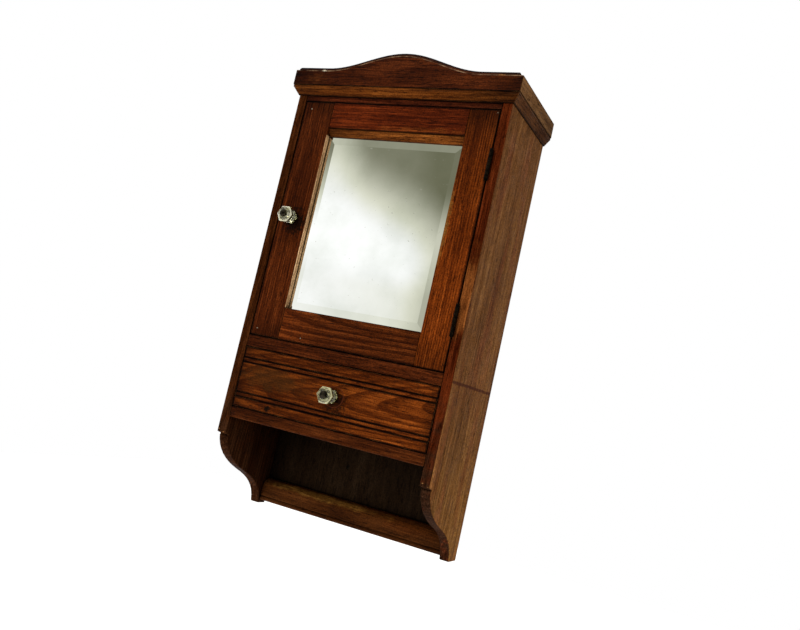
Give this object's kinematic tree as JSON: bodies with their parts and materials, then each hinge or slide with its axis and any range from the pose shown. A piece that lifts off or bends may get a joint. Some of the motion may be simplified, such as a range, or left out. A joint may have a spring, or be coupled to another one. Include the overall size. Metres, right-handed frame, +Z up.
{
  "type": "medicine cabinet",
  "caption": "Wall-hung wooden medicine cabinet with a bevelled mirror door, a reeded drawer with glass knob, and an open niche.",
  "frame": {"origin": "centre of the back panel's wall side", "axes": "+Z up, +Y into the wall, the door faces -Y, +X to the viewer's right"},
  "size_m": [0.359, 0.1802, 0.6807],
  "materials": {
    "stained_wood": "red-brown stained hardwood, old satin varnish",
    "faded_wood": "the same wood, faded and worn dull",
    "inner_wood": "dark unvarnished wood",
    "backing_wood": "raw thin board",
    "mirror_glass": "bevelled silvered plate",
    "pressed_glass": "greenish pressed glass",
    "dark_steel": "blackened steel",
    "old_brass": "tarnished brass"
  },
  "bodies": {
    "case": {"back_panel": "inner_wood", "bottom_rail": "stained_wood", "catch_clip": "old_brass", "crown_front_board": "stained_wood", "crown_moulding_front": "stained_wood", "crown_moulding_left": "faded_wood", "crown_moulding_right": "faded_wood", "crown_return_left": "faded_wood", "crown_return_right": "faded_wood", "divider_board": "stained_wood", "drawer_floor_board": "stained_wood", "drawer_stop_left": "inner_wood", "drawer_stop_right": "inner_wood", "hanger_plate_left": "dark_steel", "hanger_plate_right": "dark_steel", "hinge_lower_frame_leaf": "old_brass", "hinge_lower_frame_screw_bottom": "old_brass", "hinge_lower_frame_screw_top": "old_brass", "hinge_lower_pin": "old_brass", "hinge_upper_frame_leaf": "old_brass", "hinge_upper_frame_screw_bottom": "old_brass", "hinge_upper_frame_screw_top": "old_brass", "hinge_upper_pin": "old_brass", "left_side": "stained_wood", "niche_screw": "dark_steel", "right_side": "stained_wood", "shelf": "inner_wood", "shelf_batten_left": "inner_wood", "shelf_batten_right": "inner_wood", "top_board": "stained_wood"},
    "door": {"backing_bead_bottom": "inner_wood", "backing_bead_left": "inner_wood", "backing_bead_right": "inner_wood", "backing_bead_top": "inner_wood", "catch_stud": "old_brass", "door_knob": "pressed_glass", "door_knob_bolt": "dark_steel", "door_knob_nut": "dark_steel", "door_rail_bottom": "stained_wood", "door_rail_top": "stained_wood", "door_stile_left": "stained_wood", "door_stile_right": "stained_wood", "hinge_lower_door_leaf": "old_brass", "hinge_lower_door_screw_bottom": "old_brass", "hinge_lower_door_screw_top": "old_brass", "hinge_upper_door_leaf": "old_brass", "hinge_upper_door_screw_bottom": "old_brass", "hinge_upper_door_screw_top": "old_brass", "mirror": "mirror_glass", "mirror_backing_board": "backing_wood", "mirror_top_strip": "stained_wood"},
    "drawer": {"drawer_back": "inner_wood", "drawer_bottom": "backing_wood", "drawer_front": "stained_wood", "drawer_knob": "pressed_glass", "drawer_knob_bolt": "dark_steel", "drawer_knob_nut": "dark_steel", "drawer_side_left": "inner_wood", "drawer_side_right": "inner_wood"}
  },
  "joints": [
    {"name": "door_hinge", "type": "hinge", "parent": "case", "child": "door", "pos_m": [0.1551, -0.1548, 0.11325], "axis": [0, 0, 1], "range_deg": [0, 170]},
    {"name": "drawer_slide", "type": "slide", "parent": "case", "child": "drawer", "axis": [0, -1, 0], "range_m": [0, 0.1]}
  ]
}
